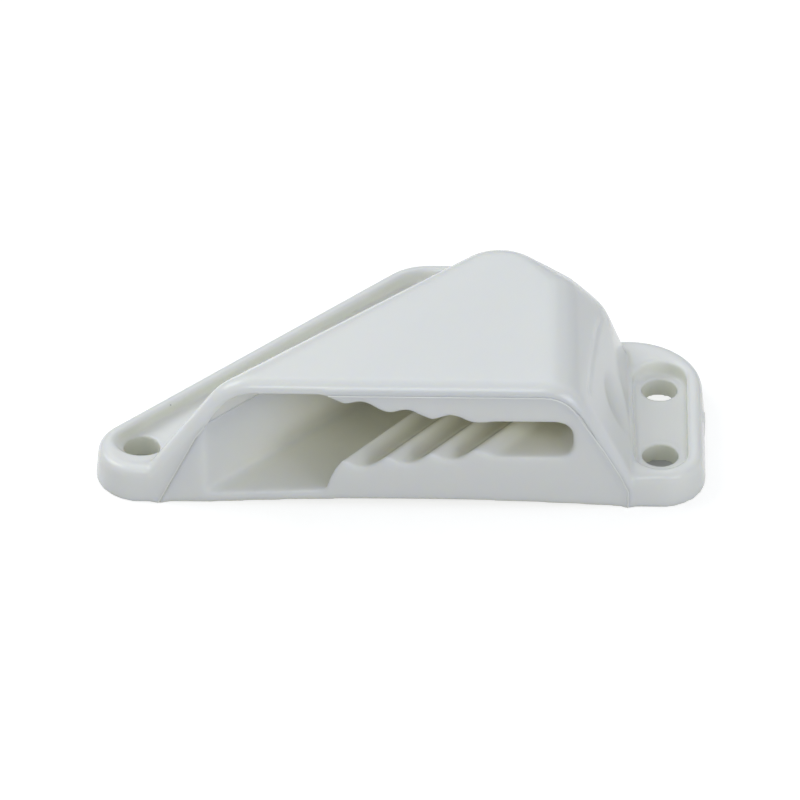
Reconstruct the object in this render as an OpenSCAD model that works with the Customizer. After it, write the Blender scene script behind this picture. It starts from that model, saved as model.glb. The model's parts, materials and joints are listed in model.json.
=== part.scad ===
// Side-entry jam cleat: a four-hole flange with a raised rim carries a hollow hump.
// A rope channel runs obliquely under the hump and a ribbed V slot opens off its side.
// Units are millimetres, +Z is up, the origin is at the centre of the footprint on the deck.

/* [Flange] */
// Overall length along the front face
body_l = 92; // [70:0.5:120]
// Overall depth, front face to back nose
body_d = 54.8; // [40:0.1:70]
// Depth of the right-hand pad
pad_d = 35.5; // [28:0.5:45]
// Height of the raised rim
rim_h = 5.7; // [4:0.1:8]
// Thickness of the floor under the screw heads
floor_t = 3.1; // [2:0.1:5]
// Corner radius of the left tip
tip_r = 7.1; // [5:0.1:9]
// Corner radius of the back nose
nose_r = 9; // [6:0.1:12]
// Front corner radius of the right-hand pad
pad_r = 7; // [4:0.1:9]
// Back corner radius of the right-hand pad
pad_back_r = 11.5; // [6:0.1:13]
// Thickness of the raised rim along the oblique side
rim_t = 2; // [1.5:0.1:3]
// Round-over on the outside of the rim
rim_r = 1.2; // [0.5:0.1:1.4]
// Draft of the outside wall, from the deck to the rim
draft = 0.4; // [0:0.05:1]
// Half width of the tray round the pad's holes
tray_r = 4.1; // [3.5:0.1:5]
// Rise of the shallow arch under the front edge
arch_rise = 0.9; // [0.2:0.1:1.5]

/* [Screw holes] */
// Hole diameter for a 5 mm screw
hole_d = 5.6; // [4:0.1:7]
// Inset of the end holes from each end
hole_inset = 6.9; // [5:0.1:10]
// Distance of the front pair from the front face
hole_front = 9.1; // [7:0.1:12]
// Spacing of the two holes in the right-hand pad
pad_pitch = 16.4; // [12:0.1:20]
// Back hole, distance from the left end
back_hole_x = 47.6; // [40:0.1:55]
// Back hole, distance from the front face
back_hole_y = 46; // [38:0.1:48]

/* [Hump] */
// Height of the flat top
top_h = 22.3; // [18:0.1:30]
// Radius of the lip round the front opening
lip_r = 2; // [1:0.1:4]
// Wall thickness of the hump
wall_t = 1.9; // [1.2:0.1:2.3]
// Radius of the long round-over along the oblique side
side_r = 7.4; // [4:0.1:10]
// Radius of the round-over at the right-hand end
end_r = 7.6; // [4:0.1:10]
// Radius of the round-over at the apex
apex_r = 2.5; // [2.4:0.1:4]

/* [Rope channel] */
// Plan angle of the channel to the front face
channel_a = 45; // [35:1:55]
// Left wall of the channel at the front face, from the left end
channel_x = 16.6; // [14:0.1:20]
// Height of the channel floor at its left edge
channel_floor = 1.9; // [1.5:0.1:3]
// Height at which the channel wall starts to lean over
vault_z = 12.3; // [10:0.1:15]
// Lean of the channel wall above that height
vault_a = 5; // [0:1:20]

/* [Jaws] */
// Plan angle of the ribs to the front face
rib_a = 50; // [40:1:60]
// Left end of the lower jaw at the front face, from the left end
jaw_x = 34.6; // [30:0.1:40]
// Spacing of the ribs measured along the front face
rib_pitch = 6.57; // [4:0.05:9]
// Depth of the scooped grooves between the lower ribs
rib_depth = 1.7; // [0.8:0.1:2.5]
// Depth of the waves between the upper ribs
wave_depth = 1.15; // [0.5:0.05:2]
// Rise of the lower ribs from each to the next
rib_rise = 0.75; // [0:0.05:1.5]
// Height of the plain groove past the last lower rib
groove_z = 9.3; // [7:0.1:11]
// Height of the plain roof of the slot past the last upper rib
slot_z = 15.6; // [14:0.1:18]
// Right-hand end of the slot, from the left end
slot_x = 71.8; // [65:0.1:75]
// Height of the pockets that lighten the block from below
pocket_h = 4.6; // [2:0.1:5]
// Width of each pocket along the front face
pocket_w = 4.6; // [2:0.1:5]

/* [Hidden] */
// Roof underside, where the upper jaw seats
roof_z = top_h - wall_t;
// Back nose, left and right centres of its round
nose_y = body_d - nose_r;
nose_x0 = 49.6;
nose_x1 = 53;
// Left edge of the pad, hidden in the hump
pad_x = 75;
// Left foot of the hump, and the round-overs at the two ends of the front ridge
ramp_x = 6.4;
ring_x = 24;
end_ring_x = 67.3;
// Foot of the hump at the front of the right-hand end
foot_x = 80.2;
foot_r = 1.3;
// Hump corners from left to right: oblique side, apex, shoulder, haunch, back feet
flank = [55.3, 26.3];
apex = [60.6, 29.2];
apex_w = 5;
shoulder = [67.2, 27.3];
haunch = [70.4, 27.6];
haunch_z = 11.4;
heel = [78.3, 30.6];
heel_r = 2.5;
toe = [57, 40];
toe_r = 5.5;
foot_h = 4;
// Way along which the rope leaves at the back, and the corners of its mouth
exit_way = [8.8, 13.4, 0];
exit_a = -33.3;
mouth_top = [65.5, 28.5];
mouth_back = [60.4, 32.6];
mouth_foot = [73, 28.5];
mouth_r = 0.6;
sill = [66, 38.6];
sill_h = 2.4;
// First lower crest, and the run from the last one down to the plain groove
ribs = 4;
crest_x = jaw_x + 2.5;
crest_z = 8.4;
crest_run = 3.4;
// First upper tip, how far each next one is lower, and the run from the last one up to the plain roof
tip_x = jaw_x + 2.9;
tip_z = 18.6;
tip_drop = 1.85;
tip_ease = 0.25;
tip_run = 2.6;
// Skew of the upper waves towards the front of each rib
wave_skew = 0.8;
// Left end of the lower jaw below its first crest, and of the upper jaw above its first tip
jaw_nose = [[0, 2.9], [0.5, 4.7], [1.2, 6.4]];
jaw_brow = [[-0.4, 1.2], [1.6, -1.2]];
// Corner radii of the slot's right-hand end, below and above
slot_low_r = 2;
slot_top_r = 2.5;
slot_end_l = 4;
// Rise of the channel floor at the lower jaw, and where its prism ends
floor_rise = 1;
floor_run = 3;
floor_end = 25;
// Left edge of the front opening, foot and top, flush with the channel wall
seam_x = 9.6;
seam_top_z = 14.9;
vault_x = channel_x + (seam_top_z - vault_z) * tan(vault_a);
// Underside arch, radius from its chord and rise
arch_x0 = 18;
arch_x1 = 78;
arch_c = (arch_x1 - arch_x0) / 2;
arch_r = (arch_c * arch_c + arch_rise * arch_rise) / (2 * arch_rise);
// Pockets under the block: left edge at the front face, and how far each runs back
pockets = [[39.5, 23], [46.5, 21], [53.5, 16], [60.5, 9.5]];
pocket_y = 2.6;
// Reach of cuts and prisms past the body
below = -1;
above = 30;
far = 220;
// Points on each rib and round
steps = 8;
$fn = 64;

// Prism through the front view polygon, running back at plan angle a
module oblique(a, pts) {
  rotate([0, 0, a - 90])
    rotate([90, 0, 0])
      linear_extrude(height = far, center = true)
        polygon([for (p = pts) [p[0] * sin(a), p[1]]]);
}

// Prism through the front view polygon, running straight back
module straight(pts) {
  translate([0, far / 2, 0])
    rotate([90, 0, 0])
      linear_extrude(height = far)
        polygon(pts);
}

module disc(x, y, r) {
  translate([x, y])
    circle(r = r);
}

// Round corner of the flange, drafted and rounded over at the top
module corner(x, y, r) {
  translate([x, y, 0]) {
    cylinder(r1 = r, r2 = r - draft, h = rim_h - rim_r, $fn = 48);
    translate([0, 0, rim_h - rim_r])
      rotate_extrude($fn = 48)
        translate([r - draft - rim_r, 0])
          circle(r = rim_r, $fn = 16);
  }
}

// Flange as one drafted plate, its trays still missing
module plate() {
  hull() {
    corner(tip_r, tip_r, tip_r);
    corner(nose_x0, nose_y, nose_r);
    corner(nose_x1, nose_y, nose_r);
    corner(pad_x, pad_d - heel_r, heel_r);
    corner(pad_x, heel_r, heel_r);
  }
  hull() {
    corner(body_l - pad_back_r, pad_d - pad_back_r, pad_back_r);
    corner(body_l - pad_r, pad_r, pad_r);
    corner(pad_x, pad_d - heel_r, heel_r);
    corner(pad_x, heel_r, heel_r);
  }
}

// Ring lying in a plane parallel to the front face
module front_ring(x, r) {
  translate([x, lip_r, top_h - r])
    rotate([90, 0, 0])
      rotate_extrude($fn = 40)
        translate([r - lip_r, 0])
          circle(r = lip_r, $fn = 20);
}

// Round bar through the front face
module bar(x, r) {
  translate([x, lip_r, top_h - r])
    rotate([90, 0, 0])
      cylinder(r = r - wall_t, h = 12, $fn = 40);
}

module ball(p, z, r) {
  translate([p[0], p[1], z])
    sphere(r = r, $fn = 32);
}

module post(p, h, r) {
  translate([p[0], p[1], 0])
    cylinder(r = r, h = h, $fn = 32);
}

// Rounded apex of the flat top
module apex_ring(r) {
  translate([apex[0], apex[1], top_h - apex_r])
    rotate_extrude($fn = 40)
      translate([apex_w, 0])
        circle(r = r, $fn = 20);
}

// Back corners of the hump; t thins it all round for its inside
module hump_back(t) {
  ball(flank, top_h - side_r, side_r - t);
  ball(shoulder, top_h - end_r, end_r - t);
  ball(haunch, haunch_z, end_r - t);
  apex_ring(apex_r - t);
  post(heel, foot_h, heel_r - t);
  post(toe, floor_t, toe_r - t);
}

// Outside of the hump, down to the deck
module hump() {
  hull() {
    front_ring(ring_x, side_r);
    front_ring(end_ring_x, end_r);
    hump_back(0);
    post([ramp_x + lip_r, lip_r], floor_t, lip_r);
    post([foot_x, foot_r], foot_h, foot_r);
  }
}

// Corners of the mouth through which the rope leaves at the back
module mouth() {
  ball(mouth_top, top_h - end_r, end_r - wall_t);
  ball(mouth_back, roof_z - mouth_r, mouth_r);
  translate([0, 0, below]) {
    post(mouth_foot, foot_h, mouth_r);
    post(toe, floor_t, toe_r - wall_t);
  }
}

// Hollow of the hump, open at the front and at the back mouth
module hollow() {
  hull() {
    bar(ring_x, side_r);
    bar(end_ring_x, end_r);
    translate([0, 0, below])
      hump_back(wall_t);
    hump_back(wall_t);
    for (x = [ramp_x + wall_t + 0.4, foot_x - 0.1])
      translate([x, lip_r - 12, below])
        cube([0.1, 13, foot_h]);
  }
  hull() {
    mouth();
    translate(exit_way)
      mouth();
  }
}

// Tray round the two holes of the pad
module pad_tray() {
  y0 = hole_front - 2.3;
  y1 = hole_front + pad_pitch;
  disc(body_l - hole_inset, y0, tray_r);
  disc(body_l - hole_inset, y1, tray_r);
  translate([body_l - hole_inset - tray_r, y0])
    square([2 * tray_r, y1 - y0]);
}

// Tray along the oblique side, down to the floor round its two holes
module side_tray() {
  hull() {
    disc(tip_r, tip_r, tip_r - rim_t - draft);
    disc(nose_x0, nose_y, nose_r - rim_t - draft);
    disc(nose_x1, nose_y, nose_r - rim_t - draft);
  }
}

// Flange with its two trays, the hump still missing
module flange() {
  difference() {
    plate();
    translate([0, 0, floor_t])
      linear_extrude(height = rim_h) {
        side_tray();
        pad_tray();
      }
  }
}

module screw_hole(x, y) {
  translate([x, y, below])
    cylinder(d = hole_d, h = rim_h - 2 * below);
}

module screw_holes() {
  screw_hole(hole_inset, hole_front);
  screw_hole(body_l - hole_inset, hole_front);
  screw_hole(body_l - hole_inset, hole_front + pad_pitch);
  screw_hole(back_hole_x, back_hole_y);
}

// Space inside the shell that the jaw block and the channel share
module inside() {
  intersection() {
    hollow();
    oblique(channel_a, [[seam_x, below], [seam_x, 0], [channel_x, seam_top_z], [vault_x, seam_top_z],
      [vault_x + (above - seam_top_z) * tan(vault_a), above], [far, above], [far, below]]);
  }
}

// Shallow arch under the middle of the base
module under_arch() {
  translate([(arch_x0 + arch_x1) / 2, below, arch_rise - arch_r])
    rotate([-90, 0, 0])
      cylinder(r = arch_r, h = body_d - 2 * below, $fn = 720);
}

// Strip of flange that the rope leaves over, past the foot of the back mouth
module exit_sill() {
  translate([sill[0], sill[1], 2 * below])
    rotate([0, 0, exit_a])
      translate([-body_l / 2, 0, 0])
        cube([body_l, body_d, sill_h - 2 * below]);
}

module shell() {
  color([0.93, 0.94, 0.94])
    translate([-body_l / 2, -body_d / 2, 0])
      difference() {
        union() {
          flange();
          hump();
        }
        difference() {
          inside();
          exit_sill();
        }
        screw_holes();
        under_arch();
      }
}

// Lower jaw from its first crest to its last, seen from the front: pointed crests, scooped grooves
function low_ribs() = [for (i = [0:(ribs - 1) * steps])
  [crest_x + rib_pitch * i / steps,
   crest_z + rib_rise * i / steps - rib_depth * abs(sin(180 * i / steps))]];

// Upper jaw from its first tip to its last, seen from the front: rounded tips and skewed waves
function tip(n) = tip_z - tip_drop * n + tip_ease * n * n;
function wave(t) = pow(sin(180 * pow(t, wave_skew)), 2);
function top_ribs() = [for (n = [0:ribs - 2])
  for (i = [0:(n < ribs - 2 ? steps - 1 : steps)])
    [tip_x + rib_pitch * (n + i / steps),
     tip(n) + (tip(n + 1) - tip(n)) * i / steps + wave_depth * wave(i / steps)]];

// Quarter circle of radius r from angle a, as points
function quarter(x, z, r, a) = [for (i = [0:steps])
  [x + r * cos(a + 90 * i / steps), z + r * sin(a + 90 * i / steps)]];

module lower_jaw() {
  oblique(rib_a, concat(
    [[jaw_x, below]],
    [for (p = jaw_nose) [jaw_x + p[0], p[1]]],
    low_ribs(),
    [[crest_x + rib_pitch * (ribs - 1) + crest_run, groove_z], [far, groove_z], [far, below]]));
}

module upper_jaw() {
  oblique(rib_a, concat(
    [[jaw_x + jaw_brow[0][0], above]],
    [for (p = jaw_brow) [jaw_x + p[0], roof_z + p[1]]],
    top_ribs(),
    [[tip_x + rib_pitch * (ribs - 1) + tip_run, slot_z], [far, slot_z], [far, above]]));
}

// Solid end of the slot on the right
module slot_end() {
  x0 = slot_x - slot_end_l;
  difference() {
    straight([[x0, below], [x0, above], [far, above], [far, below]]);
    straight(concat(
      [[x0 + below, slot_z], [x0 + below, groove_z]],
      quarter(slot_x - slot_low_r, groove_z + slot_low_r, slot_low_r, -90),
      quarter(slot_x - slot_top_r, slot_z - slot_top_r, slot_top_r, 0)));
  }
}

// Cheek on the left of the channel and the floor under the rope
module cheek() {
  oblique(channel_a, [[seam_x, below], [seam_x, 0], [channel_x, seam_top_z], [vault_x, seam_top_z],
    [channel_x, vault_z], [channel_x, channel_floor],
    [jaw_x + floor_run, channel_floor + floor_rise], [jaw_x + floor_end, channel_floor + floor_rise],
    [jaw_x + floor_end, below]]);
}

// Pockets under the lower jaw, parallel to its ribs
module core_pockets() {
  for (p = pockets)
    intersection() {
      oblique(rib_a, [[p[0], below], [p[0], pocket_h],
        [p[0] + pocket_w, pocket_h], [p[0] + pocket_w, below]]);
      translate([0, pocket_y, below])
        cube([body_l, p[1] - pocket_y, above]);
    }
}

module jaw_block() {
  color([0.90, 0.91, 0.90])
    translate([-body_l / 2, -body_d / 2, 0])
      difference() {
        intersection() {
          hump();
          inside();
          union() {
            cheek();
            lower_jaw();
            upper_jaw();
            slot_end();
          }
        }
        exit_sill();
        under_arch();
        core_pockets();
      }
}

shell();
jaw_block();
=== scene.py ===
"""Looks of a side-entry jam cleat.

A shell and a jaw block of moulded white nylon, the flash along their seam, and a studio.
"""

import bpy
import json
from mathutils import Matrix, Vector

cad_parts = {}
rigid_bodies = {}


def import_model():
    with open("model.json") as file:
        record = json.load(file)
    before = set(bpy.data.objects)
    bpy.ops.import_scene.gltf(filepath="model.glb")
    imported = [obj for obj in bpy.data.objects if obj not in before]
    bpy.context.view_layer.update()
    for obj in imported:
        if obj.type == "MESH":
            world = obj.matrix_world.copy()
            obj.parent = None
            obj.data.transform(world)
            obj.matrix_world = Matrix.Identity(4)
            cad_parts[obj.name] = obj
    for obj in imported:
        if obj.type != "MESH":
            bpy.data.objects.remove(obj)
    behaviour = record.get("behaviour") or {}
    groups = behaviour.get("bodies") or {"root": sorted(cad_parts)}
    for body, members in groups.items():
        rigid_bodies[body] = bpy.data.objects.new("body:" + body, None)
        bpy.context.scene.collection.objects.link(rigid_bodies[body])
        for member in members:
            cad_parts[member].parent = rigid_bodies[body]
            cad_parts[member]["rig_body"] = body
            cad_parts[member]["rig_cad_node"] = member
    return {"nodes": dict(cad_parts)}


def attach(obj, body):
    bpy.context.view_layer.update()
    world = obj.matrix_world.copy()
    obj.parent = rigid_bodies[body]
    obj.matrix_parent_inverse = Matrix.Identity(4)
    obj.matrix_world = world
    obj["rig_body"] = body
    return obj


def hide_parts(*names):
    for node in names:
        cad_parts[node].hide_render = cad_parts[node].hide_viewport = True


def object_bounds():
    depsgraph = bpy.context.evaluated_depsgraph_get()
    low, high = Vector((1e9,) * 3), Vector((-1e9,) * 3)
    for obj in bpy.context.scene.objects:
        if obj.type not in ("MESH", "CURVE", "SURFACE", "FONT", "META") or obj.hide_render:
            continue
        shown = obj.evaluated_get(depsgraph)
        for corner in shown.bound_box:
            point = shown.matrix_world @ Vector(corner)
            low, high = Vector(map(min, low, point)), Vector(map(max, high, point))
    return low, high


bl_info = {
    "name": "Side-entry jam cleat",
    "version": (1, 0, 0),
    "blender": (4, 5, 0),
    "location": "View3D > Sidebar > Cleat",
    "description": "Dresses the packed cleat as moulded white nylon and sets up its studio",
    "category": "Object",
}

import json
import math

import bpy
from mathutils import Vector

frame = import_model()
CAD_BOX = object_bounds()
MM = 0.001
# Front left corner of the footprint, from which places on the cleat are measured
CORNER = Vector(CAD_BOX[0])

# Points of a CAD mesh that lie closer than this are one point
MERGE_GAP = 0.002 * MM
# Share of the way to its neighbours that one smoothing pass moves a point
SMOOTHING = 0.5
# How far the tools of the dimple and of the bowl reach past what they cut
CAP_SPARE = 0.2 * MM
CONE_SPARE = 1.0 * MM
# Sides of round tools, splits of the dimple's ball, steps of small roundings
BOWL_SIDES = 96
PIN_SIDES = 64
BALL_SPLITS = 6
ROUND_STEPS = 2
# Way of the crease from back to front, in millimetres from the front left corner
CREASE_RUN = (
    (76.2, 26.4, 16.3), (75.5, 21.9, 17.0), (75.1, 17.4, 17.5),
    (74.6, 12.4, 18.0), (74.3, 7.6, 18.2), (74.3, 4.0, 18.0),
)
# Faces of the jaw block count as its front face up to this normal and this far back
FRONT_NORMAL = -0.99
FRONT_BAND = 0.1 * MM
# Edges of that face lie on the seam where the shell is nearer than this
SEAM_GAP = 0.3 * MM

# Features of the nylon's marks to the metre, and how the flow marks are drawn out
CLOUDS_PER_M = 80
FLOW_PER_M = 160
GRAIN_PER_M = 2400
CELLS_PER_M = 230
FLOW_STRETCH = (0.25, 1, 1)
# Size of a speck within its cell, and the share of cells that have none
SPECK_SIZE = 0.035
SPECK_FREE = 0.9
# How far flow marks change the roughness
FLOW_GLOSS = 0.05
# Nylon's refraction, and how far red, green and blue light spread in it
NYLON_IOR = 1.53
SPREAD_RGB = (1.0, 0.9, 0.6)
# How far the hollows are felt for by the mask of the painted shade, and with how many rays
RECESS_REACH = 25 * MM
RECESS_RAYS = 8
# Strength and height of the surface relief
RELIEF = 0.5
RELIEF_HEIGHT = 0.02 * MM

# Floor: paint, side in metres, and radius of the painted shade under a front screw hole
FLOOR_GREY = (0.5, 0.5, 0.5, 1)
FLOOR_ROUGHNESS = 0.9
FLOOR_SIDE = 6
HOLE_SHADE_R = 5.5 * MM
# Photograph: side, pixels to the metre at the front face, row where that face meets the deck
PHOTO_PX = 800
PX_PER_M = 6728.0
FRONT_ROW = 506.6
# Camera: sensor width in millimetres, and how far it sees in metres
SENSOR = 36
SIGHT = 20
# Lamps: name, place in metres, side in metres, and the setting that holds the power
LAMPS = (
    ("left_light", (-0.85, 0.3, 0.95), 0.8, "left_power"),
    ("back_light", (0, 0.9, 1.0), 0.8, "back_power"),
    ("front_light", (0.6, -0.65, 0.3), 0.4, "front_power"),
    ("glint_light", (-0.05, -0.9, 0.95), 0.4, "glint_power"),
)


def length(name, description, mm, most):
    """A length property, its default and its greatest value given in millimetres."""
    return bpy.props.FloatProperty(
        name=name, description=description, default=mm * MM, min=0, max=most * MM,
        subtype="DISTANCE", unit="LENGTH", precision=5)


def place(name, description, mm):
    """A place on the cleat, its default in millimetres from the front left corner."""
    return bpy.props.FloatVectorProperty(
        name=name, description=description, size=3, default=tuple(v * MM for v in mm),
        subtype="TRANSLATION", unit="LENGTH", precision=5)


def tint(name, description, colour):
    """A colour property."""
    return bpy.props.FloatVectorProperty(
        name=name, description=description, size=3, default=colour, min=0, max=1,
        subtype="COLOR")


def level(name, description, value, most=1):
    """A plain number property."""
    return bpy.props.FloatProperty(
        name=name, description=description, default=value, min=0, max=most)


def passes(name, description, count, most=80):
    """A count of smoothing passes."""
    return bpy.props.IntProperty(
        name=name, description=description, default=count, min=0, max=most)


def power(name, description, watts):
    """A lamp's power property."""
    return bpy.props.FloatProperty(
        name=name, description=description, default=watts, min=0, subtype="POWER")


def angle(name, description, degrees):
    """An angle property, its default given in degrees."""
    return bpy.props.FloatProperty(
        name=name, description=description, default=math.radians(degrees),
        subtype="ANGLE", unit="ROTATION")


class CleatMoulding(bpy.types.PropertyGroup):
    """Sizes of the moulded surface and its small marks."""

    grain: length(
        "Mesh grain", "Size of the faces that the moulded surface is laid out in", 0.25, 1)
    softness: passes("Edge softness", "Smoothing passes that round the shell's edges", 24)
    jaw_softness: passes("Jaw softness", "Smoothing passes that round the jaws' edges", 40)
    thinning: level("Thinning", "Share of the faces kept once the surface is smooth", 0.45)
    seam_near: length(
        "Seam edge", "Distance from the other moulding within which edges stay crisp", 0.3, 2)
    seam_far: length(
        "Seam fade", "Distance from the other moulding past which edges are fully soft", 1.2, 4)
    overlap: length(
        "Seam overlap", "How far each moulding reaches into the other at the seam", 0.06, 1)
    flash_r: length("Flash radius", "Radius of the fine bead that fills the seam", 0.15, 1)
    flash_in: length(
        "Flash depth", "How far the middle of that bead lies behind the front face", 0.09, 1)
    dimple_at: place(
        "Dimple place", "Middle of the shallow round dimple in the right-hand wall",
        (78.4, 12.8, 9.8))
    dimple_r: length("Dimple radius", "Radius of the dimple's rim", 5.2, 8)
    dimple_h: length("Dimple depth", "Depth of the dimple at its middle", 0.5, 2)
    gate_at: place(
        "Gate place", "Middle of the gate mark on the right-hand end", (91.6, 17.4, 2.9))
    gate_size: place("Gate size", "Size of the gate mark", (0.8, 2.6, 3.6))
    gate_round: length("Gate edge", "Rounding of the gate mark's edges", 0.25, 1)
    crease_r: length(
        "Crease radius", "Radius of the fine crease beside the right-hand round-over", 0.6, 2)
    crease_h: length("Crease depth", "Depth of the fine crease before it is softened", 0.25, 1)
    hole_r: length("Hole radius", "Radius of the screw holes", 2.8, 5)
    tip_hole: place("Left hole", "Middle of the left screw hole at the deck", (6.9, 9.1, 0))
    back_hole: place("Back hole", "Middle of the back screw hole at the deck", (47.6, 46, 0))
    pad_hole: place(
        "Right hole", "Middle of the front screw hole of the pad at the deck", (85.1, 9.1, 0))
    pad_back_hole: place(
        "Right back hole", "Middle of the back screw hole of the pad at the deck",
        (85.1, 25.5, 0))
    bowl_at: place("Left end", "Middle of the round left end at the deck", (7.1, 7.1, 0))
    bowl_r: length("Bowl radius", "Radius of the filling round the left screw hole", 5.2, 7)
    bowl_top: length("Bowl height", "Height at which the filling meets the rim", 5.5, 6)
    bowl_run: length(
        "Bowl slope", "How far the filling runs out from the hole up to that height", 1.7, 5)
    tray_floor: length("Tray floor", "Height of the floor of the oblique tray", 3.5, 5)
    tray_ends: length(
        "Tray ends", "How far that floor runs on past its two screw holes", 4.5, 6)
    tray_out: length(
        "Tray outside", "How far that floor runs from its holes into the rim", 4.0, 5)
    tray_in: length(
        "Tray inside", "How far that floor runs from its holes into the hump's wall", 5.8, 7)


class CleatFinish(bpy.types.PropertyGroup):
    """Colours and gloss of the nylon, with the colours of its painted shade and of the seam
    bead's painted highlight.
    """

    nylon: tint("Nylon", "Colour of the white nylon", (0.915, 0.915, 0.905))
    # painted highlight: the bead's colour is whiter than the nylon, so that the seam reads as a
    # light line
    flash: tint("Flash", "Colour of the thin bead along the seam", (0.99, 0.99, 0.97))
    # painted shade: the colour the jaws' nylon turns to deep in hollows, darker and warmer than
    # the nylon itself
    jaw_shade: tint("Jaw recess shade", "Colour of the nylon deep in the jaws", (0.88, 0.86, 0.70))
    # painted shade: the colour the shell's nylon turns to deep in its holes and trays, darker and
    # warmer than the nylon
    shade: tint(
        "Shell recess shade", "Colour of the nylon deep in the holes and trays of the shell",
        (0.80, 0.81, 0.715))
    roughness: level("Roughness", "Roughness of the moulded surface", 0.22)
    spread: level("Spread", "Share of the light that spreads inside the nylon", 0.5)
    depth: length("Translucency", "How far light spreads inside the nylon", 2.0, 10)
    specks: level("Specks", "Strength of the specks in the shell", 0.3)
    jaw_grain: level("Jaw grain", "Strength of the fine grain on the jaws", 0.3)


class CleatStudio(bpy.types.PropertyGroup):
    """Camera and light of the studio."""

    elevation: angle("Camera height angle", "Angle at which the camera looks down", 37)
    yaw: angle(
        "Camera turn", "How far the camera stands round towards the right-hand end", 1)
    distance: length(
        "Camera distance", "Distance of the camera from the front face", 1145, 5000)
    daylight: tint("Daylight", "Colour of the lamps and the sky", (0.94, 0.98, 1.0))
    left_power: power("Left light", "Power of the light above on the left", 6.4)
    back_power: power("Back light", "Power of the light above at the back", 1.5)
    front_power: power("Front light", "Power of the light in front on the right", 1.8)
    glint_power: power(
        "Glint light", "Power of the high light in front that glints on edges", 1.9)
    sky: level("Sky", "Strength of the even light all round", 0.34, 2)
    floor_glow: level(
        "Floor white", "How far the floor is lifted to white where the camera sees it", 0.7)


def only(obj):
    """Selects one object alone and makes it the active one."""
    bpy.ops.object.select_all(action="DESELECT")
    obj.select_set(True)
    bpy.context.view_layer.objects.active = obj


def apply_all(obj):
    """Applies every modifier of an object in order."""
    only(obj)
    for name in [m.name for m in obj.modifiers]:
        bpy.ops.object.modifier_apply(modifier=name)


def merged_copy(node, name):
    """A copy of a CAD node's mesh with its loose triangles merged."""
    only(frame["nodes"][node])
    bpy.ops.object.duplicate()
    obj = bpy.context.active_object
    bpy.ops.object.parent_clear(type="CLEAR_KEEP_TRANSFORM")
    obj.name = obj.data.name = name
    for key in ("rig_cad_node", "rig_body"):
        del obj[key]
    obj.data.materials.clear()
    bpy.ops.object.mode_set(mode="EDIT")
    bpy.ops.mesh.select_all(action="SELECT")
    bpy.ops.mesh.remove_doubles(threshold=MERGE_GAP)
    bpy.ops.object.mode_set(mode="OBJECT")
    return obj


def combine(obj, tool, operation):
    """Cuts a tool out of an object or joins it on, and deletes the tool."""
    only(tool)
    bpy.ops.object.transform_apply(location=True, rotation=True, scale=True)
    height = obj.dimensions.z
    change = obj.modifiers.new("tool", "BOOLEAN")
    change.object = tool
    change.operation = operation
    change.solver = "EXACT"
    apply_all(obj)
    if obj.dimensions.z < height / 2:
        raise RuntimeError(f"{tool.name} took away most of {obj.name}")
    bpy.data.objects.remove(tool)


def even_mesh(obj):
    """Lays the surface out afresh in faces of one size."""
    remesh = obj.modifiers.new("even mesh", "REMESH")
    remesh.mode = "VOXEL"
    remesh.voxel_size = bpy.context.scene.cleat_moulding.grain
    remesh.use_smooth_shade = True
    apply_all(obj)


def soften(obj, crisp, rounds):
    """Rounds all edges as a mould does, but keeps them crisp next to another object."""
    size = bpy.context.scene.cleat_moulding
    soft = obj.vertex_groups.new(name="soft")
    soft.add(range(len(obj.data.vertices)), 1.0, "REPLACE")
    near = obj.modifiers.new("seam", "VERTEX_WEIGHT_PROXIMITY")
    near.vertex_group = "soft"
    near.target = crisp
    near.proximity_mode = "GEOMETRY"
    near.proximity_geometry = {"FACE"}
    near.min_dist = size.seam_near
    near.max_dist = size.seam_far
    smooth = obj.modifiers.new("soft edges", "SMOOTH")
    smooth.vertex_group = "soft"
    smooth.factor = SMOOTHING
    smooth.iterations = rounds
    swell = obj.modifiers.new("overlap", "DISPLACE")
    swell.vertex_group = "soft"
    swell.invert_vertex_group = True
    swell.mid_level = 0
    swell.strength = size.overlap
    thin = obj.modifiers.new("thinning", "DECIMATE")
    thin.ratio = size.thinning
    apply_all(obj)
    bpy.ops.object.shade_smooth()


def dimple(obj):
    """Sinks the shallow round dimple into the right-hand wall."""
    size = bpy.context.scene.cleat_moulding
    found, spot, normal, _ = obj.closest_point_on_mesh(CORNER + Vector(size.dimple_at))
    if not found:
        raise RuntimeError("no wall under the dimple")
    ball_r = (size.dimple_r ** 2 + size.dimple_h ** 2) / (2 * size.dimple_h)
    # only the cap of the ball that reaches into the wall is kept
    bpy.ops.mesh.primitive_ico_sphere_add(
        subdivisions=BALL_SPLITS, radius=ball_r,
        location=spot + normal * (ball_r - size.dimple_h))
    bpy.ops.object.mode_set(mode="EDIT")
    bpy.ops.mesh.select_all(action="SELECT")
    bpy.ops.mesh.bisect(
        plane_co=spot + normal * CAP_SPARE, plane_no=normal, use_fill=True, clear_outer=True)
    bpy.ops.object.mode_set(mode="OBJECT")
    combine(obj, bpy.context.active_object, "DIFFERENCE")


def gate_mark(obj):
    """Adds the low mark that the gate leaves on the right-hand end."""
    size = bpy.context.scene.cleat_moulding
    bpy.ops.mesh.primitive_cube_add(
        size=1, location=CORNER + Vector(size.gate_at), scale=size.gate_size)
    mark = bpy.context.active_object
    only(mark)
    bpy.ops.object.transform_apply(location=True, rotation=True, scale=True)
    bpy.ops.object.mode_set(mode="EDIT")
    bpy.ops.mesh.select_all(action="SELECT")
    bpy.ops.mesh.bevel(offset=size.gate_round, segments=ROUND_STEPS)
    bpy.ops.object.mode_set(mode="OBJECT")
    combine(obj, mark, "UNION")


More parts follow.
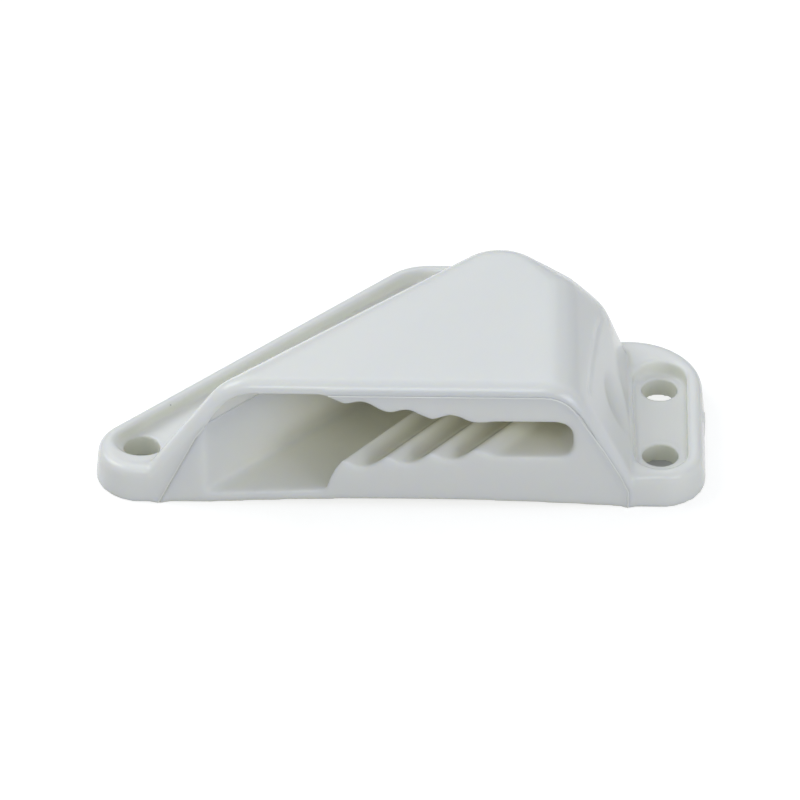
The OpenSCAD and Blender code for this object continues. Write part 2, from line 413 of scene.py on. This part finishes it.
def crease(obj):
    """Draws the fine crease where the right-hand round-over ends."""
    size = bpy.context.scene.cleat_moulding
    bpy.ops.curve.primitive_nurbs_path_add()
    tool = bpy.context.active_object
    tool.data.splines.clear()
    line = tool.data.splines.new("POLY")
    line.points.add(len(CREASE_RUN) - 1)
    for point, spot in zip(line.points, CREASE_RUN):
        _, on, normal, _ = obj.closest_point_on_mesh(CORNER + Vector(spot) * MM)
        point.co = (*(on + normal * (size.crease_r - size.crease_h)), 1)
    tool.data.bevel_depth = size.crease_r
    tool.data.use_fill_caps = True
    only(tool)
    bpy.ops.object.convert(target="MESH")
    combine(obj, bpy.context.active_object, "DIFFERENCE")


def tray_line():
    """Both ends of the oblique tray at its screw holes, its direction and its turn."""
    size = bpy.context.scene.cleat_moulding
    start, end = (CORNER + Vector(hole) for hole in (size.tip_hole, size.back_hole))
    along = (end - start).normalized()
    return start, end, along, (0, 0, math.atan2(along.y, along.x))


def tray_floor(obj):
    """Thickens the floor of the oblique tray, from the left screw hole to the back one."""
    size = bpy.context.scene.cleat_moulding
    start, end, along, turn = tray_line()
    inward = Vector((along.y, -along.x, 0))
    thick = size.tray_floor / 2
    middle = (start + end) / 2 + inward * (size.tray_in - size.tray_out) / 2
    bpy.ops.mesh.primitive_cube_add(
        size=1, location=middle + Vector((0, 0, size.tray_floor - thick / 2)), rotation=turn,
        scale=((end - start).length + 2 * size.tray_ends, size.tray_in + size.tray_out, thick))
    combine(obj, bpy.context.active_object, "UNION")


def tip_bowl(obj):
    """Fills the left end of that tray, so that the rim slopes down to the screw hole."""
    size = bpy.context.scene.cleat_moulding
    hole, _, along, turn = tray_line()
    low, top = size.tray_floor, size.bowl_top
    bpy.ops.mesh.primitive_cylinder_add(
        vertices=BOWL_SIDES, radius=size.bowl_r, depth=top - low / 2,
        location=CORNER + Vector(size.bowl_at) + Vector((0, 0, (top + low / 2) / 2)))
    bowl = bpy.context.active_object
    bpy.ops.object.transform_apply(location=True, rotation=True, scale=True)
    # the cone starts below the tray's floor and ends above the bowl, at one slope
    slope = size.bowl_run / (top - low)
    bpy.ops.mesh.primitive_cone_add(
        vertices=BOWL_SIDES, radius1=size.hole_r - slope * CONE_SPARE,
        radius2=size.hole_r + size.bowl_run + slope * CONE_SPARE,
        depth=top - low + 2 * CONE_SPARE, location=hole + Vector((0, 0, (top + low) / 2)))
    combine(bowl, bpy.context.active_object, "DIFFERENCE")
    # only the end of the tray is filled, left of the hole's middle
    reach = 2 * size.bowl_r
    bpy.ops.mesh.primitive_cube_add(
        size=2 * reach, location=hole + along * reach, rotation=turn)
    combine(bowl, bpy.context.active_object, "DIFFERENCE")
    combine(obj, bowl, "UNION")


def pin(hole, height):
    """A round pin through a screw hole, from below the deck up to a height."""
    size = bpy.context.scene.cleat_moulding
    bpy.ops.mesh.primitive_cylinder_add(
        vertices=PIN_SIDES, radius=size.hole_r, depth=2 * height, location=CORNER + Vector(hole))
    return bpy.context.active_object


def open_holes(obj):
    """Opens the two holes of the oblique tray again."""
    size = bpy.context.scene.cleat_moulding
    for hole in (size.tip_hole, size.back_hole):
        combine(obj, pin(hole, 2 * size.bowl_top), "DIFFERENCE")


def crisp_places(neighbour):
    """The other moulding and pins in the screw holes, next to which edges stay crisp."""
    size = bpy.context.scene.cleat_moulding
    pieces = [merged_copy(neighbour, "crisp_places")]
    for hole in (size.tip_hole, size.back_hole, size.pad_hole, size.pad_back_hole):
        pieces.append(pin(hole, size.tray_floor))
    only(pieces[0])
    for piece in pieces:
        piece.select_set(True)
    bpy.ops.object.join()
    return pieces[0]


def new_group(name, inputs, outputs):
    """An empty shader node group, what it is given and what it puts out."""
    tree = bpy.data.node_groups.new(name, "ShaderNodeTree")
    for label, value in inputs:
        socket = tree.interface.new_socket(
            name=label, in_out="INPUT", socket_type="NodeSocketFloat")
        socket.default_value = value
    for label in outputs:
        tree.interface.new_socket(name=label, in_out="OUTPUT", socket_type="NodeSocketFloat")
    given = tree.nodes.new("NodeGroupInput").outputs
    result = tree.nodes.new("NodeGroupOutput").inputs
    return tree, given, result


def feed(tree, socket, value):
    """Links a socket to an output, or sets it to a number."""
    if isinstance(value, bpy.types.NodeSocket):
        tree.links.new(value, socket)
    else:
        socket.default_value = value


def sums(tree, operation, a, b, c=0.0):
    """A math node's result."""
    node = tree.nodes.new("ShaderNodeMath")
    node.operation = operation
    for socket, value in zip(node.inputs, (a, b, c)):
        feed(tree, socket, value)
    return node.outputs[0]


def noise(tree, coords, scale):
    """Even noise about nought, of so many features to the metre."""
    node = tree.nodes.new("ShaderNodeTexNoise")
    node.inputs["Scale"].default_value = scale
    tree.links.new(coords, node.inputs["Vector"])
    return sums(tree, "SUBTRACT", node.outputs["Fac"], 0.5)


def moulding_marks():
    """Clouding, flow marks, fine grain and specks that moulded nylon shows."""
    name = "moulding marks"
    if name in bpy.data.node_groups:
        return bpy.data.node_groups[name]
    tree, given, result = new_group(
        name, (("Clouding", 0.02), ("Flow", 0.3), ("Grain", 0.2), ("Specks", 0.3)),
        ("Tone", "Gloss", "Height"))
    coords = tree.nodes.new("ShaderNodeTexCoord").outputs["Object"]
    stretch = tree.nodes.new("ShaderNodeMapping")
    stretch.inputs["Scale"].default_value = FLOW_STRETCH
    tree.links.new(coords, stretch.inputs["Vector"])
    clouds = noise(tree, coords, CLOUDS_PER_M)
    flow = noise(tree, stretch.outputs["Vector"], FLOW_PER_M)
    grain = noise(tree, coords, GRAIN_PER_M)
    # specks are the small middles of a few cells
    cells = tree.nodes.new("ShaderNodeTexVoronoi")
    cells.inputs["Scale"].default_value = CELLS_PER_M
    tree.links.new(coords, cells.inputs["Vector"])
    pick = tree.nodes.new("ShaderNodeSeparateColor")
    tree.links.new(cells.outputs["Color"], pick.inputs["Color"])
    small = sums(tree, "LESS_THAN", cells.outputs["Distance"], SPECK_SIZE)
    few = sums(tree, "GREATER_THAN", pick.outputs["Red"], SPECK_FREE)
    speck = sums(tree, "MULTIPLY", sums(tree, "MULTIPLY", small, few), given["Specks"])
    cloudy = sums(tree, "MULTIPLY_ADD", clouds, given["Clouding"], 1.0)
    feed(tree, result["Tone"], sums(tree, "SUBTRACT", cloudy, speck))
    feed(tree, result["Gloss"], sums(tree, "MULTIPLY", flow, FLOW_GLOSS))
    waves = sums(tree, "MULTIPLY", flow, given["Flow"])
    pores = sums(tree, "MULTIPLY", grain, given["Grain"])
    feed(tree, result["Height"], sums(tree, "ADD", waves, pores))
    return tree


def recesses():
    """How open each place is to the air, from 0 deep in a recess to 1 outside: the mask of the
    painted shade in hollows.
    """
    name = "recesses"
    if name in bpy.data.node_groups:
        return bpy.data.node_groups[name]
    tree, given, result = new_group(
        name, (("Reach", RECESS_REACH), ("Deep", 0.1), ("Shallow", 0.5)), ("Open",))
    # painted shade: ambient occlusion picks out the hollows, where the colour is made darker and
    # warmer
    air = tree.nodes.new("ShaderNodeAmbientOcclusion")
    air.samples = RECESS_RAYS
    feed(tree, air.inputs["Distance"], given["Reach"])
    depth = tree.nodes.new("ShaderNodeMapRange")
    feed(tree, depth.inputs["Value"], air.outputs["AO"])
    feed(tree, depth.inputs["From Min"], given["Deep"])
    feed(tree, depth.inputs["From Max"], given["Shallow"])
    feed(tree, result["Open"], depth.outputs["Result"])
    return tree


def place_group(tree, group, **values):
    """A node group set into a material with its own values."""
    node = tree.nodes.new("ShaderNodeGroup")
    node.node_tree = group
    for label, value in values.items():
        node.inputs[label].default_value = value
    return node.outputs


def nylon(name, open_colour, shade_colour, spread, **marks):
    """Moulded nylon: light may spread inside it, and its hollows are painted a darker, warmer
    colour as shade.
    """
    finish = bpy.context.scene.cleat_finish
    mat = bpy.data.materials.new(name)
    mat.use_nodes = True
    tree = mat.node_tree
    shader = tree.nodes["Principled BSDF"]
    shader.inputs["IOR"].default_value = NYLON_IOR
    shader.inputs["Subsurface Weight"].default_value = spread
    shader.inputs["Subsurface Radius"].default_value = SPREAD_RGB
    shader.inputs["Subsurface Scale"].default_value = finish.depth
    mark = place_group(tree, moulding_marks(), **marks)
    recess = place_group(tree, recesses(), Reach=RECESS_REACH)
    # painted shade: the base colour goes from the nylon's colour to the darker, warmer shade
    # colour where the place is closed in
    colour = tree.nodes.new("ShaderNodeMix")
    colour.data_type = "RGBA"
    colour.inputs["A"].default_value = (*shade_colour, 1)
    colour.inputs["B"].default_value = (*open_colour, 1)
    feed(tree, colour.inputs["Factor"], recess["Open"])
    toned = tree.nodes.new("ShaderNodeVectorMath")
    toned.operation = "SCALE"
    tree.links.new(colour.outputs["Result"], toned.inputs["Vector"])
    feed(tree, toned.inputs["Scale"], mark["Tone"])
    tree.links.new(toned.outputs["Vector"], shader.inputs["Base Color"])
    feed(tree, shader.inputs["Roughness"], sums(tree, "ADD", mark["Gloss"], finish.roughness))
    bump = tree.nodes.new("ShaderNodeBump")
    bump.inputs["Strength"].default_value = RELIEF
    bump.inputs["Distance"].default_value = RELIEF_HEIGHT
    feed(tree, bump.inputs["Height"], mark["Height"])
    tree.links.new(bump.outputs["Normal"], shader.inputs["Normal"])
    return mat


def white_floor():
    """Pale floor that the camera sees as white, with the shadow kept and a painted shade under
    two screw holes.
    """
    size, studio = bpy.context.scene.cleat_moulding, bpy.context.scene.cleat_studio
    mat = bpy.data.materials.new("floor_white")
    mat.use_nodes = True
    tree = mat.node_tree
    paint = tree.nodes["Principled BSDF"]
    paint.inputs["Base Color"].default_value = FLOOR_GREY
    paint.inputs["Roughness"].default_value = FLOOR_ROUGHNESS
    paint.inputs["Specular IOR Level"].default_value = 0.0
    path = tree.nodes.new("ShaderNodeLightPath").outputs
    seen = sums(tree, "MAXIMUM", path["Is Camera Ray"], path["Is Glossy Ray"])
    seen = sums(tree, "MAXIMUM", seen, path["Is Transmission Ray"])
    lift = sums(tree, "MULTIPLY", seen, studio.floor_glow)
    # painted shade: the lift is left out in discs under the two front screw holes, so the floor
    # seen through them stays dark
    coords = tree.nodes.new("ShaderNodeTexCoord").outputs["Object"]
    for hole in (size.tip_hole, size.pad_hole):
        reach = tree.nodes.new("ShaderNodeVectorMath")
        reach.operation = "DISTANCE"
        tree.links.new(coords, reach.inputs[0])
        reach.inputs[1].default_value = CORNER + Vector(hole)
        outside = sums(tree, "GREATER_THAN", reach.outputs["Value"], HOLE_SHADE_R)
        lift = sums(tree, "MULTIPLY", lift, outside)
    paint.inputs["Emission Color"].default_value = (1, 1, 1, 1)
    feed(tree, paint.inputs["Emission Strength"], lift)
    return mat


class CLEAT_OT_flash(bpy.types.Operator):
    """Makes the fine bead of flash along the seam round the front opening"""

    bl_idname = "cleat.flash"
    bl_label = "Seam flash"

    def execute(self, context):
        size = context.scene.cleat_moulding
        shell = frame["nodes"]["shell"]
        obj = merged_copy("jaw_block", "seam_flash")
        # outline of the block's front face
        bpy.ops.object.mode_set(mode="EDIT")
        bpy.ops.mesh.select_all(action="DESELECT")
        bpy.ops.mesh.select_mode(type="FACE")
        bpy.ops.object.mode_set(mode="OBJECT")
        back = CORNER.y + FRONT_BAND
        for face in obj.data.polygons:
            face.select = face.normal.y < FRONT_NORMAL and face.center.y < back
        bpy.ops.object.mode_set(mode="EDIT")
        bpy.ops.mesh.region_to_loop()
        bpy.ops.object.mode_set(mode="OBJECT")
        # only the stretches that touch the shell stay
        spots = [v.co for v in obj.data.vertices]
        for edge in obj.data.edges:
            middle = (spots[edge.vertices[0]] + spots[edge.vertices[1]]) / 2
            _, near, _, _ = shell.closest_point_on_mesh(middle)
            edge.select = edge.select and (near - middle).length < SEAM_GAP
        bpy.ops.object.mode_set(mode="EDIT")
        bpy.ops.mesh.select_mode(type="EDGE")
        bpy.ops.mesh.select_all(action="INVERT")
        bpy.ops.mesh.delete(type="EDGE")
        bpy.ops.object.mode_set(mode="OBJECT")
        # the line becomes a round bead, a little behind the front face
        bpy.ops.object.convert(target="CURVE")
        obj = context.active_object
        obj.data.bevel_depth = size.flash_r
        obj.data.bevel_resolution = ROUND_STEPS
        obj.data.use_fill_caps = True
        bpy.ops.object.convert(target="MESH")
        obj = context.active_object
        bpy.ops.transform.translate(value=(0, size.flash_in, 0))
        bpy.ops.object.transform_apply(location=True, rotation=True, scale=True)
        bpy.ops.object.shade_smooth()
        finish = context.scene.cleat_finish
        # painted highlight in the bead's whiter colour; its hollows take the jaws' painted shade
        obj.data.materials.append(
            nylon("flash_nylon", finish.flash, finish.jaw_shade, spread=0.0, Specks=0.0))
        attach(obj, "root")
        return {"FINISHED"}


class CLEAT_OT_shell(bpy.types.Operator):
    """Makes the moulded shell"""

    bl_idname = "cleat.shell"
    bl_label = "Shell"

    def execute(self, context):
        obj = merged_copy("shell", "moulded_shell")
        for shape in (dimple, crease, gate_mark, tray_floor, tip_bowl, open_holes, even_mesh):
            shape(obj)
        crisp = crisp_places("jaw_block")
        soften(obj, crisp, context.scene.cleat_moulding.softness)
        bpy.data.objects.remove(crisp)
        finish = context.scene.cleat_finish
        # the shell's hollows get the painted shade colour
        obj.data.materials.append(
            nylon("shell_nylon", finish.nylon, finish.shade, finish.spread, Specks=finish.specks))
        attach(obj, "root")
        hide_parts("shell")
        return {"FINISHED"}


class CLEAT_OT_jaws(bpy.types.Operator):
    """Makes the ribbed jaw block"""

    bl_idname = "cleat.jaws"
    bl_label = "Jaw block"

    def execute(self, context):
        obj = merged_copy("jaw_block", "ribbed_jaws")
        even_mesh(obj)
        soften(obj, frame["nodes"]["shell"], context.scene.cleat_moulding.jaw_softness)
        finish = context.scene.cleat_finish
        # the jaws' hollows get the painted shade colour
        obj.data.materials.append(
            nylon("jaw_nylon", finish.nylon, finish.jaw_shade, finish.spread, Grain=finish.jaw_grain))
        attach(obj, "root")
        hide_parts("jaw_block")
        return {"FINISHED"}


class CLEAT_OT_studio(bpy.types.Operator):
    """Lays out the floor, the lights and the camera"""

    bl_idname = "cleat.studio"
    bl_label = "Studio"

    def execute(self, context):
        scene = context.scene
        studio = scene.cleat_studio
        scene.view_settings.view_transform = "Standard"
        # camera, aimed at the point of the front plane that is the photograph's middle
        flat, steep = math.cos(studio.elevation), math.sin(studio.elevation)
        aim_height = (FRONT_ROW - PHOTO_PX / 2) / (PX_PER_M * flat)
        target = Vector((0, CORNER.y, aim_height))
        look = Vector((-math.sin(studio.yaw) * flat, math.cos(studio.yaw) * flat, -steep))
        bpy.ops.object.camera_add(
            location=target - look * studio.distance,
            rotation=look.to_track_quat("-Z", "Y").to_euler())
        camera = context.active_object
        camera.name = "photo_camera"
        camera.data.sensor_width = SENSOR
        camera.data.lens = SENSOR * PX_PER_M * studio.distance / PHOTO_PX
        camera.data.clip_end = SIGHT
        scene.camera = camera
        # floor
        bpy.ops.mesh.primitive_plane_add(size=FLOOR_SIDE, location=(0, 0, CORNER.z))
        floor = context.active_object
        floor.name = "floor"
        floor.data.materials.append(white_floor())
        # lights
        for name, spot, side, setting in LAMPS:
            aim = (-Vector(spot)).to_track_quat("-Z", "Y").to_euler()
            bpy.ops.object.light_add(type="AREA", location=spot, rotation=aim)
            lamp = context.active_object
            lamp.name = name
            lamp.data.energy = getattr(studio, setting)
            lamp.data.size = side
            lamp.data.color = studio.daylight
        world = bpy.data.worlds.new("studio_sky")
        world.use_nodes = True
        sky = world.node_tree.nodes["Background"]
        sky.inputs["Color"].default_value = (*studio.daylight, 1)
        sky.inputs["Strength"].default_value = studio.sky
        scene.world = world
        return {"FINISHED"}


OPERATORS = (CLEAT_OT_flash, CLEAT_OT_shell, CLEAT_OT_jaws, CLEAT_OT_studio)


class CLEAT_PT_panel(bpy.types.Panel):
    """Lists the pieces of the cleat"""

    bl_idname = "CLEAT_PT_panel"
    bl_label = "Jam cleat"
    bl_space_type = "VIEW_3D"
    bl_region_type = "UI"
    bl_category = "Cleat"

    def draw(self, context):
        for operator in OPERATORS:
            self.layout.operator(operator.bl_idname)


CLASSES = (CleatMoulding, CleatFinish, CleatStudio, *OPERATORS, CLEAT_PT_panel)


def register():
    """Registers the classes and gives the scene their settings."""
    for cls in CLASSES:
        bpy.utils.register_class(cls)
    bpy.types.Scene.cleat_moulding = bpy.props.PointerProperty(type=CleatMoulding)
    bpy.types.Scene.cleat_finish = bpy.props.PointerProperty(type=CleatFinish)
    bpy.types.Scene.cleat_studio = bpy.props.PointerProperty(type=CleatStudio)


def unregister():
    """Takes the settings and the classes away again."""
    for name in ("cleat_studio", "cleat_finish", "cleat_moulding"):
        delattr(bpy.types.Scene, name)
    for cls in reversed(CLASSES):
        bpy.utils.unregister_class(cls)


def main():
    """Makes the pieces and the studio."""
    register()
    bpy.ops.cleat.flash()
    bpy.ops.cleat.shell()
    bpy.ops.cleat.jaws()
    bpy.ops.cleat.studio()


if __name__ == "__main__":
    main()
